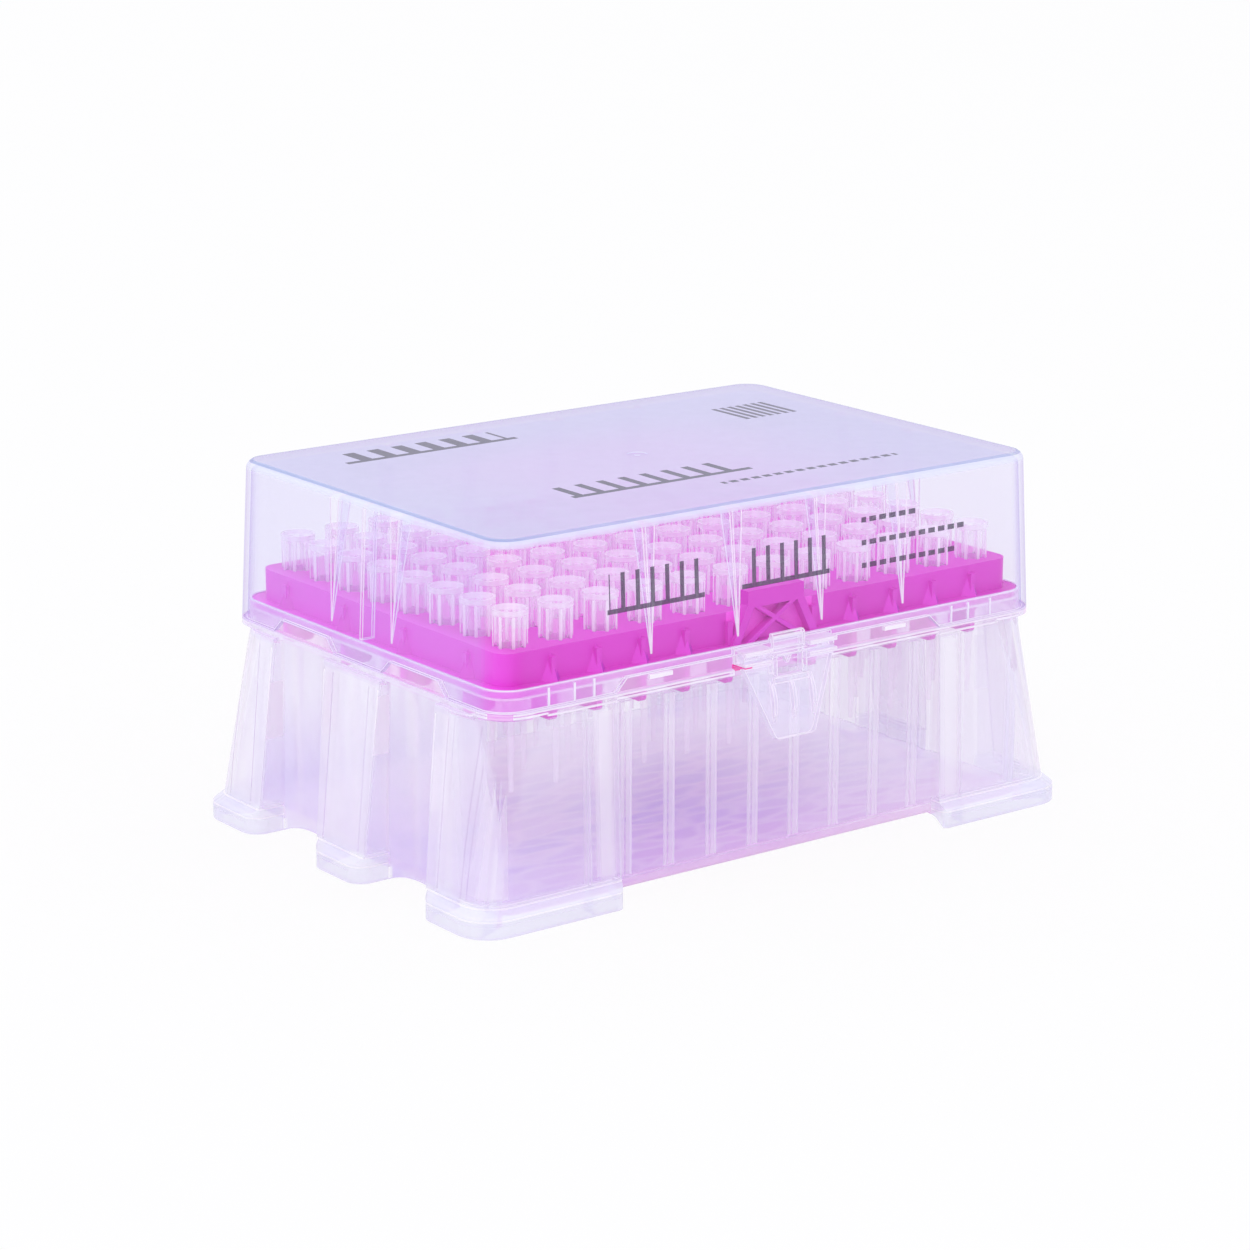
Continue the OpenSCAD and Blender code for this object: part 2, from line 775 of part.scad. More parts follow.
module hook() {
    top = rim_z + hook_rise;
    nose_low = strike_z + strike_h + 0.1;
    along_x(-hook_hx, hook_hx) polygon([
        [-hook_in, top], [pin_y - 0.2, top], [pin_y - 0.6, top - 0.45], [pin_y - 0.6, pin_z],
        [pin_y + 0.05, pin_z], [pin_y + 0.05, nose_low - 0.1], [-hook_in, nose_low]
    ]);
}

// ---- rack ----

// gusset on a side wall: the edge of a square bar leaning out of the wall
module gusset(wall) {
    drop = gusset_z - flange_z;
    lean = atan2(gusset_out, drop);
    intersection() {
        translate([0, -wall, gusset_z]) rotate([-lean, 0, 0]) rotate([0, 0, 45]) {
            translate([0, 0, -drop * 1.5]) cube([4, 4, drop * 1.5]);
        }
        translate([-4, -wall - gusset_out - 1, flange_z - 0.1]) cube([8, gusset_out + 1.2, drop + 0.1]);
    }
}

// fin below the gusset, inside the box wall
module fin(wall, out, low) {
    r = 0.9;
    along_x(-fin_t / 2, fin_t / 2) {
        translate([-out, low + r]) square([fin_d, plate_z - rack_plate_t - low - r + 0.1]);
        translate([-out + r, low]) square([fin_d - 2 * r, 2 * r]);
        translate([-out + r, low + r]) circle(r);
        translate([-out + fin_d - r, low + r]) circle(r);
    }
}

// X-braced frame in front of the plate
module braced_frame() {
    low = flange_z - 0.1;
    top = plate_z + frame_rise;
    bar_low = top - frame_top_h;
    along_y(-frame_hy, -frame_hy + frame_t) {
        translate([-frame_top_hx, bar_low]) square([2 * frame_top_hx, frame_top_h]);
        for (s = [-1, 1]) {
            scale([s, 1]) {
                polygon([
                    [frame_top_hx, bar_low + 0.5], [frame_low_hx, low],
                    [frame_low_hx - 1.25 * frame_bar, low], [frame_top_hx - 1.25 * frame_bar, bar_low + 0.5]
                ]);
                polygon([
                    [-frame_top_hx + 1.5, bar_low + 0.1], [-frame_top_hx + 1.5 + frame_bar, bar_low + 0.1],
                    [frame_low_hx - 2.2 * frame_bar, low], [frame_low_hx - 3.4 * frame_bar, low]
                ]);
            }
        }
    }
}

module tip_rack() {
    color([0.93, 0.2, 0.78]) {
        difference() {
            union() {
                slab(rack_hx, rack_hy, rack_corner_r, plate_z - rack_plate_t, plate_z);
                difference() {
                    union() {
                        slab(rack_hx, rack_hy, rack_corner_r, seat_z, plate_z - eps);
                        slab(lip_hx - flange_gap, lip_hy - flange_gap, lip_r - flange_gap, seat_z, flange_z);
                    }
                    slab(rack_hx - rack_wall, rack_hy - rack_wall, rack_corner_r - rack_wall, seat_z - 1, plate_z - rack_plate_t);
                }
                both_y() {
                    for (k = [1 - columns / 2 : columns / 2 - 1]) {
                        if (k != 0) {
                            translate([k * pitch, 0, 0]) {
                                if (abs(k) > 1) gusset(rack_hy);
                                fin(rack_hy, cavity_hy - fin_gap, plate_z - fin_drop);
                            }
                        }
                    }
                }
                both_x() {
                    for (k = [-3, -1, 1, 3]) {
                        translate([0, k * pitch, 0]) rotate([0, 0, -90]) {
                            gusset(rack_hx);
                            fin(rack_hx, cavity_hx - fin_gap, plate_z - fin_drop + 0.5);
                        }
                    }
                }
                both_y() braced_frame();
            }
            for (i = [0 : columns - 1]) {
                for (j = [0 : rows - 1]) {
                    translate([i * pitch - half_x, j * pitch - half_y, plate_z - 2 * rack_plate_t]) {
                        cylinder(r = hole_r, h = 3 * rack_plate_t);
                    }
                }
            }
        }
    }
}

// ---- tips ----

// one tip: a turned shell with upright fins round its collar; z = 0 on the rack plate
module tip() {
    cone_z = -0.27 * tip_drop;
    neck_z = -0.4 * tip_drop;
    collar_top = tip_rise - tip_rim_h;
    shank_mid = (tip_shank_r + tip_neck_r) / 2 + 0.15;
    bore_r = tip_shank_r - tip_wall;
    rotate_extrude() polygon([
        [tip_rim_r - 0.4, tip_rise], [tip_rim_r, tip_rise], [tip_rim_r, collar_top],
        [collar_r, collar_top - 0.3], [collar_r, 0], [tip_shank_r, 0],
        [shank_mid, cone_z], [tip_neck_r, neck_z], [tip_point_r, -tip_drop],
        [tip_point_r - 0.17, -tip_drop], [tip_neck_r - 0.3, neck_z],
        [shank_mid - 0.35, cone_z], [bore_r, 0], [bore_r + 0.1, tip_rise - tip_funnel]
    ]);
    for (k = [0 : tip_fins - 1]) {
        rotate([0, 0, k * 360 / tip_fins]) translate([collar_r - 0.2, -tip_fin_t / 2, 0]) {
            cube([tip_fin_r - collar_r + 0.2, tip_fin_t, collar_top]);
        }
    }
}

module tips_column(col) {
    color([0.96, 0.88, 0.97, 0.6]) {
        for (row = [1 : rows]) {
            translate([(col - 1) * pitch - half_x, (row - 1) * pitch - half_y, plate_z]) {
                rotate([0, 0, turn_of(col, row)]) tip();
            }
        }
    }
}

base();
lid();
latch();
tip_rack();
tips_column(1);  // tips_column_01
tips_column(2);  // tips_column_02
tips_column(3);  // tips_column_03
tips_column(4);  // tips_column_04
tips_column(5);  // tips_column_05
tips_column(6);  // tips_column_06
tips_column(7);  // tips_column_07
tips_column(8);  // tips_column_08
tips_column(9);  // tips_column_09
tips_column(10);  // tips_column_10
tips_column(11);  // tips_column_11
tips_column(12);  // tips_column_12
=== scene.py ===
"""Looks of the box of pipette tips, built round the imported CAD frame.

The frame has +x along the long side, -y towards the latch and +z up. Places on a piece are in millimetres,
in the piece's own frame, and the coordinates that textures use are in metres.
"""

import math

import bmesh
import bpy
from mathutils import Matrix, Vector


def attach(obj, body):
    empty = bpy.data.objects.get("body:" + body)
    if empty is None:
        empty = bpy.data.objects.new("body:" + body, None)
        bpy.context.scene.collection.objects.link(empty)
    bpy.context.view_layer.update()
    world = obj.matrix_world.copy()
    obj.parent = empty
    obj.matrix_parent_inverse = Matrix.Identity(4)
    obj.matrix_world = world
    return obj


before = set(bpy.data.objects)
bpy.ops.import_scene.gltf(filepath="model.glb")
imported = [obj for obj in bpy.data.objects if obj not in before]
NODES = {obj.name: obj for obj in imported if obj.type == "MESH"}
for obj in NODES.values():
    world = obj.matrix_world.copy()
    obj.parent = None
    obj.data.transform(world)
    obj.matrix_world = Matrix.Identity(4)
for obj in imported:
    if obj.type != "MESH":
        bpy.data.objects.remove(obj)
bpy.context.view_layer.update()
scene = bpy.context.scene
MM = 0.001


# ---- places that the materials follow, in mm; a pair in brackets is where a range starts and ends ----

# half sizes that take in the box's walls and leave out its legs
BOX_X, BOX_Y = 57.3, 39.3
# the box's inner floor, and how deep its glowing front edge is
FLOOR_X, FLOOR_Y, FLOOR_TOP = 56.2, 38.2, 3.7
SKIRTING_BACK = -37.0
FACETS_PER_METRE = 150.0
# below every piece, so that a range takes in the undersides
UNDER = -1.0
# the legs' skins, and the feet with the height over which their milkiness fades
SKIN_TOP = 33.8
FOOT_TOP, FOOT_FADE = 4.0, 6.6
FOOT_EDGES = ((2.75, 3.00), (4.36, 4.62))
# the ends of the legs: their faces, and where their sides and webs are
LEG_END_X, LEG_END = 57.4, (4.7, 33.3)
LEG_SIDES = ((7.9, 8.3), (24.6, 25.0))
LEG_WEBS = ((5.2, 5.5), (28.4, 28.7), (35.0, 35.3))
# the front legs: a pale band that fades at both sides, and a web that widens and leans from its top
BAND_NEAR, BAND_FAR, BAND_HEIGHT = (35.2, 36.0), (38.5, 39.3), (5.5, 33.5)
WEB_TOP, WEB_TOP_X, WEB_WIDENS, WEB_LEANS = 33.6, 55.3, 0.074, 1.9
WEB_HEIGHT, WEB_FRONT, WEB_LINE = (5.8, 33.4), -33.0, 0.16
# the flutes' faces inside the ends and the sides, and how far apart the flutes stand
FLUTES_TOP = 33.2
END_FLUTE_FACE, END_FLUTES_REACH, END_FLUTE_STEP = (55.4, 55.96), 34.0, 9.0
SIDE_FLUTE_FACE, SIDE_FLUTES_REACH, SIDE_FLUTE_STEP = (37.4, 37.96), 52.0, 8.865
# from a flute's middle: where the clearer line fades out, and where the bright rim starts
FLUTE_LINE, FLUTE_RIM = (0.08, 0.28), 0.96
# the rim above the legs, the raised guides on its front and the glint beside the latch
RIM_X, RIM_Y, RIM_FADE, RIM_TOP = 57.8, 39.8, 34.6, 39.2
GUIDE_FACE, GUIDE_HEIGHT = (-39.7, -39.12), (35.8, 38.9)
GLINT_ALONG, GLINT_HEIGHT, GLINT_FRONT = (-10.1, -8.4), (35.3, 36.4), -39.0
# the tips' grid, fins and rims
TIP_PITCH = 9.0
TIP_FIN_RADIUS, TIP_FINS, TIP_RIM = 2.78, (44.4, 49.7), (49.6, 49.9)
# the rack's straight walls, and the panel behind its braces
RACK_STRAIGHT_X, RACK_STRAIGHT_Y = 50.0, 31.0
PANEL_X, PANEL_HEIGHT, PANEL_DEPTH = 9.2, (36.5, 45.2), (-36.5, -36.1)
# the lid's level top with the painted pink glow in its middle, its rounded edge, and the middle of its
# leaning front wall
LID_LEVEL = 63.4
PINK_CENTRE, PINK_X, PINK_Y = -6.0, (52.0, 12.0), (30.0, 2.0)
EDGE_BAND, EDGE_LINE = (62.0, 62.4), (63.35, 63.66)
EDGE_LINE_X, EDGE_LINE_Y = 50.0, 32.0
FRONT_LEAN, FRONT_AT_FOOT = 0.0431, -41.35
# the dashed rows on the lid's front: where they start, how high they are, and each one's foot and end
DASHES_START, DASHES_HEIGHT, FRONT_DASHES = 17.3, 0.9, ((56.5, 30.0), (52.6, 40.5), (48.7, 38.8))

# refraction of polypropylene
PLASTIC_IOR = 1.49


# ---- camera ----

CAMERA_AT = Vector((-375.1, -490.7, 198.7)) * MM
YAW, PITCH, ROLL = (math.radians(a) for a in (37.205, 15.011, 0.131))
LENS_MM = 105.3
SENSOR_MM = 36.0


def camera():
    """A camera turned by its yaw, then pitched down, then rolled."""
    ahead = Vector((math.sin(YAW) * math.cos(PITCH), math.cos(YAW) * math.cos(PITCH), -math.sin(PITCH)))
    level = Vector((math.cos(YAW), -math.sin(YAW), 0))
    above = level.cross(ahead)
    right = math.cos(ROLL) * level + math.sin(ROLL) * above
    up = right.cross(ahead)
    data = bpy.data.cameras.new("camera")
    data.lens = LENS_MM
    data.sensor_width = SENSOR_MM
    data.clip_start = 0.01
    data.clip_end = 50
    obj = bpy.data.objects.new("camera", data)
    turn = Matrix((right, up, -ahead)).transposed().to_4x4()
    obj.matrix_world = Matrix.Translation(CAMERA_AT) @ turn
    scene.collection.objects.link(obj)
    scene.camera = obj


# ---- node helpers ----


def rgb(r, g, b):
    return (r, g, b, 1.0)


WHITE = rgb(1, 1, 1)
MILK = rgb(0.98, 0.96, 1.0)
BRIGHT = rgb(1.0, 0.98, 1.0)


class Graph:
    """A small wrapper that adds nodes to one material and links them."""

    def __init__(self, name):
        self.material = bpy.data.materials.new(name)
        self.material.use_nodes = True
        self.tree = self.material.node_tree
        self.tree.nodes.clear()
        self.out = self.tree.nodes.new("ShaderNodeOutputMaterial")

    def add(self, kind, inputs=None, **settings):
        node = self.tree.nodes.new(kind)
        for key, value in settings.items():
            setattr(node, key, value)
        for key, value in (inputs or {}).items():
            self.feed(node.inputs[key], value)
        return node

    def feed(self, socket, value):
        if isinstance(value, bpy.types.NodeSocket):
            self.tree.links.new(value, socket)
        else:
            socket.default_value = value

    def math(self, operation, a, b=0.0, c=0.0, clamp=False):
        node = self.add("ShaderNodeMath", operation=operation, use_clamp=clamp)
        for socket, value in zip(node.inputs, (a, b, c)):
            self.feed(socket, value)
        return node.outputs[0]

    def vector(self, operation, *values, output=0):
        node = self.add("ShaderNodeVectorMath", operation=operation)
        for socket, value in zip(node.inputs, values):
            self.feed(socket, value)
        return node.outputs[output]

    def chain(self, operation, first, *others):
        for other in others:
            first = self.math(operation, first, other)
        return first

    def times(self, *values):
        return self.chain("MULTIPLY", *values)

    def most(self, *values):
        return self.chain("MAXIMUM", *values)

    def least(self, *values):
        return self.chain("MINIMUM", *values)

    def size(self, value):
        return self.math("ABSOLUTE", value)

    def other(self, mask):
        """1 where the mask is 0."""
        return self.math("SUBTRACT", 1.0, mask)

    def above(self, value, low):
        return self.math("GREATER_THAN", value, low)

    def below(self, value, high):
        return self.math("LESS_THAN", value, high)

    def within(self, value, low, high):
        return self.times(self.above(value, low), self.below(value, high))

    def within_any(self, value, ranges):
        return self.most(*(self.within(value, low, high) for low, high in ranges))

    def off_grid(self, value, step):
        """Distance to the nearest of a row of places a step apart, where 0 lies halfway between two."""
        from_halfway = self.math("PINGPONG", self.math("ADD", value, 40 * step), step / 2)
        return self.math("SUBTRACT", step / 2, from_halfway)

    def smooth(self, value, low, high, out_low=0.0, out_high=1.0):
        node = self.add(
            "ShaderNodeMapRange",
            {"Value": value, "From Min": low, "From Max": high, "To Min": out_low, "To Max": out_high},
            interpolation_type="SMOOTHSTEP",
        )
        return node.outputs["Result"]

    def mix(self, share, a, b):
        node = self.add("ShaderNodeMix", data_type="RGBA")
        self.feed(node.inputs[0], share)
        self.feed(node.inputs[6], a)
        self.feed(node.inputs[7], b)
        return node.outputs[2]

    def place(self):
        """The piece's own coordinates in metres, and each of x, y and z in millimetres."""
        coords = self.add("ShaderNodeTexCoord").outputs["Object"]
        in_mm = self.vector("MULTIPLY", coords, (1 / MM, 1 / MM, 1 / MM))
        split = self.add("ShaderNodeSeparateXYZ", {0: in_mm})
        return coords, split.outputs[0], split.outputs[1], split.outputs[2]

    def normal(self):
        """The surface's direction in the piece's own frame, as x, y and z."""
        direction = self.add("ShaderNodeTexCoord").outputs["Normal"]
        return self.add("ShaderNodeSeparateXYZ", {0: direction}).outputs

    def upright(self):
        """1 on upright faces, 0 on level ones."""
        return self.other(self.smooth(self.size(self.normal()[2]), 0.25, 0.6))

    def noise(self, coords, scale, detail=2.0, output="Fac"):
        node = self.add("ShaderNodeTexNoise", {"Vector": coords, "Scale": scale, "Detail": detail})
        return node.outputs[output]

    def uneven(self, value, cloud):
        """The value, a little more or less of it where a noise is high or low."""
        return self.times(value, self.smooth(cloud, 0.3, 0.7, 0.92, 1.08))

    def voronoi(self, coords, scale, feature):
        return self.add("ShaderNodeTexVoronoi", {"Vector": coords, "Scale": scale}, feature=feature).outputs

    def bump(self, height, distance, **inputs):
        shared = {"Height": height, "Strength": 0.05, "Distance": distance}
        return self.add("ShaderNodeBump", {**shared, **inputs}).outputs[0]

    def edges(self, radius_mm):
        """0 on flat faces, rising towards 1 along sharp edges, and the softened direction there."""
        bevel = self.add("ShaderNodeBevel", {"Radius": radius_mm * MM}, samples=6).outputs[0]
        true_normal = self.add("ShaderNodeNewGeometry").outputs["Normal"]
        alike = self.vector("DOT_PRODUCT", bevel, true_normal, output="Value")
        return self.math("SUBTRACT", 1.0, alike, clamp=True), bevel

    def facing(self):
        """0 seen face on, rising to 1 at grazing sight."""
        return self.add("ShaderNodeLayerWeight", {"Blend": 0.5}).outputs["Facing"]

    def plastic(self, colour, roughness, normal, **inputs):
        shared = {"Base Color": colour, "Roughness": roughness, "IOR": PLASTIC_IOR, "Normal": normal}
        return self.add("ShaderNodeBsdfPrincipled", {**shared, **inputs})

    def blend(self, share, a, b):
        return self.add("ShaderNodeMixShader", {0: share, 1: a.outputs[0], 2: b.outputs[0]})

    def finish(self, shader):
        self.feed(self.out.inputs["Surface"], shader.outputs[0])
        return self.material

    def finish_clear(self, shader):
        """Thin plastic scatters light on, so the studio's light reaches what is behind it nearly undimmed."""
        clear = self.add("ShaderNodeBsdfTransparent", {"Color": rgb(0.985, 0.98, 1.0)})
        path = self.add("ShaderNodeLightPath")
        passing = self.most(path.outputs["Is Shadow Ray"], path.outputs["Is Diffuse Ray"])
        return self.finish(self.blend(passing, shader, clear))


class Coat:
    """The tint and milkiness of a clear piece, which its features change one after another."""

    def __init__(self, graph, place, colour, alpha):
        self.graph = graph
        self.coords, self.x, self.y, self.z = place
        self.colour = colour
        self.alpha = alpha

    def tint(self, mask, colour):
        self.colour = self.graph.mix(mask, self.colour, colour)

    def thicken(self, mask, alpha):
        """Makes the masked places at least this milky."""
        self.alpha = self.graph.most(self.alpha, self.graph.times(mask, alpha))

    def lay(self, mask, colour, alpha):
        self.tint(mask, colour)
        self.thicken(mask, alpha)


# ---- clear plastic ----


def clear_plastic(name, haze, grazing, density, base_alpha, most=0.8, through=WHITE, features=()):
    """Thin clear polypropylene, hardly seen face on.

    At grazing sight it is milkier by its density, its haze turns to the grazing colour, and what is
    behind it takes the colour that it is seen through. The features change its tint and milkiness.
    """
    g = Graph(name)
    place = g.place()
    coords = place[0]
    facing = g.facing()
    grazing_squared = g.times(facing, facing)
    cloud = g.noise(coords, 55.0, 3.0)
    alpha = g.math("MULTIPLY_ADD", grazing_squared, density, base_alpha)
    alpha = g.uneven(alpha, cloud)
    coat = Coat(g, place, g.mix(g.smooth(facing, 0.45, 0.75), haze, grazing), alpha)
    for feature in features:
        feature(coat)
    bump = g.bump(g.noise(coords, 140.0), 0.0004)
    skin = g.plastic(coat.colour, g.smooth(cloud, 0.25, 0.75, 0.16, 0.24), bump)
    seen_through = g.mix(grazing_squared, WHITE, through)
    window = g.add("ShaderNodeBsdfTransparent", {"Color": seen_through})
    return g.finish_clear(g.blend(g.least(coat.alpha, most), window, skin))


def bead_material(name, bright, dim, alpha):
    """The light that gathers in the edges of clear plastic, a little uneven along their length."""
    g = Graph(name)
    coords, x, _, _ = g.place()
    wander = g.noise(coords, 130.0, 3.0)
    duller = rgb(*(0.94 * channel for channel in bright[:3]))
    colour = g.mix(g.smooth(wander, 0.3, 0.7), bright, duller)
    colour = g.mix(g.smooth(x, -57.6, -58.6), colour, dim)
    milkiness = g.smooth(wander, 0.25, 0.75, alpha * 0.75, alpha)
    shader = g.plastic(colour, g.smooth(wander, 0.3, 0.7, 0.3, 0.45), g.bump(wander, 0.0002), Alpha=milkiness)
    return g.finish_clear(shader)


# ---- the lid's features ----


def lid_tint(coat):
    """Painted glow: away from its middle the lid's level top is tinted a greyer blue, so the middle keeps a
    pinker glow of the rack's light; its walls are clearer than its top.
    """
    g = coat.graph
    off_centre = g.size(g.math("SUBTRACT", coat.x, PINK_CENTRE))
    middle = g.times(g.smooth(off_centre, *PINK_X), g.smooth(coat.y, *PINK_Y))
    # painted glow: the top away from its middle is tinted greyer blue, leaving the rack's pink light in the
    # middle
    coat.tint(g.times(g.above(coat.z, LID_LEVEL), g.other(middle)), rgb(0.56, 0.54, 0.76))
    upright = g.upright()
    coat.alpha = g.times(coat.alpha, g.smooth(upright, 0.0, 1.0, 1.0, 0.5))
    coat.alpha = g.least(coat.alpha, g.smooth(upright, 0.0, 1.0, 1.0, 0.16))


def lid_edge(coat):
    """The lid's rounded upper edge: a painted highlight in a bright cool band, under a thin darker line."""
    g, x, z = coat.graph, coat.x, coat.z
    band = g.times(g.smooth(z, *EDGE_BAND), g.below(z, EDGE_LINE[0]))
    # painted highlight: the bright cool band below the edge's crest
    coat.lay(band, rgb(0.80, 0.86, 0.98), 0.4)
    outer = g.most(g.above(g.size(x), EDGE_LINE_X), g.above(g.size(coat.y), EDGE_LINE_Y))
    line = g.times(g.within(z, *EDGE_LINE), outer)
    coat.lay(line, rgb(0.30, 0.38, 0.66), g.smooth(x, -45.0, -60.0, 0.5, 0.85))


def strip(g, u, v, u_range, v_range, step=0.0, bar=0.0):
    """1 in a rectangle, or on evenly spaced bars across it."""
    area = g.times(g.within(u, *u_range), g.within(v, *v_range))
    if not step:
        return area
    bars = g.math("PINGPONG", g.math("ADD", u, 100 * step), step / 2)
    return g.times(area, g.below(bars, bar / 2))


def bar_scale(g, u, v, u_range, v_range, line, overhang, step, bar):
    """Evenly spaced bars that stand on a line, which runs past them at both ends."""
    (start, end), foot = u_range, v_range[0]
    bars = strip(g, u, v, u_range, v_range, step, bar)
    return g.most(bars, strip(g, u, v, (start - overhang, end + overhang), (foot, foot + line)))


def print_on(coat, marks, ink, cover, alpha):
    """Ink that covers its share of what is under it."""
    coat.tint(coat.graph.times(marks, cover), ink)
    coat.thicken(marks, alpha)


def front_marks(coat):
    """Plain printed marks on the lid's front: two bar scales and three dashed rows."""
    g, x, z = coat.graph, coat.x, coat.z
    scales = [
        bar_scale(g, x, z, bars, (49.0, 55.6), line=0.8, overhang=0.4, step=3.0, bar=0.85)
        for bars in ((-35.8, -16.8), (-8.2, 9.8))
    ]
    dashes = [
        strip(g, x, z, (DASHES_START, end), (foot, foot + DASHES_HEIGHT), step=2.2, bar=1.5)
        for foot, end in FRONT_DASHES
    ]
    outer_face = g.below(coat.y, g.math("MULTIPLY_ADD", z, FRONT_LEAN, FRONT_AT_FOOT))
    marks = g.times(g.most(*scales, *dashes), outer_face)
    print_on(coat, marks, rgb(0.03, 0.02, 0.05), 0.95, 0.85)


def top_marks(coat):
    """Plain printed marks on the lid's top: two bar scales, a dashed row and a block of bars."""
    g, x, y = coat.graph, coat.x, coat.y
    marks = g.most(
        bar_scale(g, x, y, (-28.0, 8.0), (-21.0, -13.0), line=1.4, overhang=0.8, step=4.5, bar=1.6),
        bar_scale(g, x, y, (-43.0, -10.5), (22.6, 30.0), line=1.4, overhang=1.5, step=5.0, bar=2.4),
        strip(g, x, y, (-2.5, 36.0), (-27.3, -25.9), step=2.4, bar=1.6),
        strip(g, x, y, (33.0, 45.5), (11.5, 22.0), step=1.8, bar=1.0),
    )
    marks = g.times(marks, g.above(coat.z, LID_LEVEL))
    print_on(coat, marks, rgb(0.03, 0.025, 0.08), 0.97, 0.97)


# ---- the base's features ----


def in_box(coat):
    """1 on the box's own walls and floor, 0 on the legs round it."""
    g = coat.graph
    return g.times(g.below(g.size(coat.x), BOX_X), g.below(g.size(coat.y), BOX_Y))


def on_legs(coat):
    """1 on the legs and their feet."""
    g = coat.graph
    return g.times(g.other(in_box(coat)), g.within(coat.z, UNDER, SKIN_TOP))


def leg_skins(coat):
    """The legs are whiter than the box, and milky round the feet."""
    g = coat.graph
    legs = on_legs(coat)
    coat.lay(legs, rgb(0.955, 0.94, 0.99), 0.12)
    feet = g.times(legs, g.smooth(coat.z, FOOT_FADE, FOOT_TOP))
    coat.lay(feet, rgb(0.84, 0.85, 0.97), 0.42)


def front_leg_webs(coat):
    """A paler band along each front leg's inner side, and a web by the corner that widens downwards."""
    g, z = coat.graph, coat.z
    legs, across = on_legs(coat), g.size(coat.x)
    band = g.times(g.smooth(across, *BAND_NEAR), g.smooth(across, *reversed(BAND_FAR)))
    coat.lay(g.times(legs, band, g.within(z, *BAND_HEIGHT)), MILK, 0.34)
    half_width = g.times(g.math("SUBTRACT", WEB_TOP, z), WEB_WIDENS)
    centre = g.math("MULTIPLY_ADD", half_width, WEB_LEANS, WEB_TOP_X)
    off_edge = g.math("SUBTRACT", g.size(g.math("SUBTRACT", across, centre)), half_width)
    web = g.times(legs, g.within(z, *WEB_HEIGHT), g.below(coat.y, WEB_FRONT))
    coat.lay(g.times(web, g.below(off_edge, 0.0)), MILK, 0.30)
    coat.thicken(g.times(web, g.below(g.size(off_edge), WEB_LINE)), 0.25)


def leg_lines(coat):
    """Upright lines on the ends of the legs: painted highlights at their edges, darker along the webs inside.
    """
    g, along = coat.graph, coat.graph.size(coat.y)
    ends = g.times(on_legs(coat), g.above(g.size(coat.x), LEG_END_X), g.within(coat.z, *LEG_END))
    # painted highlights: bright lines along the ends' outer edges
    coat.lay(g.times(ends, g.within_any(along, LEG_SIDES)), BRIGHT, 0.6)
    coat.lay(g.times(ends, g.within_any(along, LEG_WEBS)), rgb(0.66, 0.55, 0.74), 0.3)


def foot_lines(coat):
    """Painted highlights: bright lines along the foot's two upper edges."""
    g = coat.graph
    # painted highlights along the foot's upper edges
    coat.lay(g.times(g.within_any(coat.z, FOOT_EDGES), on_legs(coat)), rgb(1.0, 0.99, 1.0), 0.6)


def on_end_flutes(coat):
    """1 on the flutes' faces inside the ends, from the floor to the rim."""
    g = coat.graph
    return g.times(g.within(g.size(coat.x), *END_FLUTE_FACE), g.below(g.size(coat.y), END_FLUTES_REACH))


def on_flutes(coat):
    """1 on the flutes' faces inside the ends, the front and the back."""
    g = coat.graph
    on_sides = g.times(g.within(g.size(coat.y), *SIDE_FLUTE_FACE), g.below(g.size(coat.x), SIDE_FLUTES_REACH))
    return g.times(g.most(on_end_flutes(coat), on_sides), g.within(coat.z, FLOOR_TOP, FLUTES_TOP))


def flutes(coat):
    """Two milky bands on each flute with a thin clearer line between them and painted highlights at the
    flute's edges, fainter at the back and ends.
    """
    g = coat.graph
    on_ends, faces = on_end_flutes(coat), on_flutes(coat)
    off_end, off_side = g.off_grid(coat.y, END_FLUTE_STEP), g.off_grid(coat.x, SIDE_FLUTE_STEP)
    off_middle = g.math("MULTIPLY_ADD", on_ends, g.math("SUBTRACT", off_end, off_side), off_side)
    fainter = g.times(g.smooth(coat.y, 0.0, 20.0, 1.0, 0.4), g.other(g.times(on_ends, 0.6)))
    bands = g.times(faces, g.smooth(off_middle, *FLUTE_LINE, 0.35, 1.0), fainter)
    coat.tint(faces, MILK)
    coat.thicken(bands, 0.42)
    # painted highlight: a brighter, milkier line along each flute's edges
    coat.thicken(g.times(bands, g.above(off_middle, FLUTE_RIM)), 0.6)


def violet_light_on_walls(coat):
    """Painted reflected light: the violet of the floor and the rack spreads up the lower walls, most at the
    back and the right end.
    """
    g, x, y = coat.graph, coat.x, coat.y
    walls = g.times(in_box(coat), g.other(on_flutes(coat)))
    rise = g.times(walls, g.smooth(coat.z, 26.0, 3.0), g.smooth(x, 45.0, -30.0, 0.25, 1.0))
    rise = g.times(rise, g.smooth(x, -54.0, -FLOOR_X, 1.0, 0.5))
    far = g.most(g.smooth(y, 30.0, 37.0), g.smooth(x, 50.0, 55.0, 0.0, 0.6))
    # painted reflected light: the floor's and the rack's violet cast on the lower walls
    coat.tint(g.times(rise, 0.85), rgb(0.73, 0.65, 0.99))
    coat.thicken(rise, g.smooth(far, 0.0, 1.0, 0.17, 0.5))


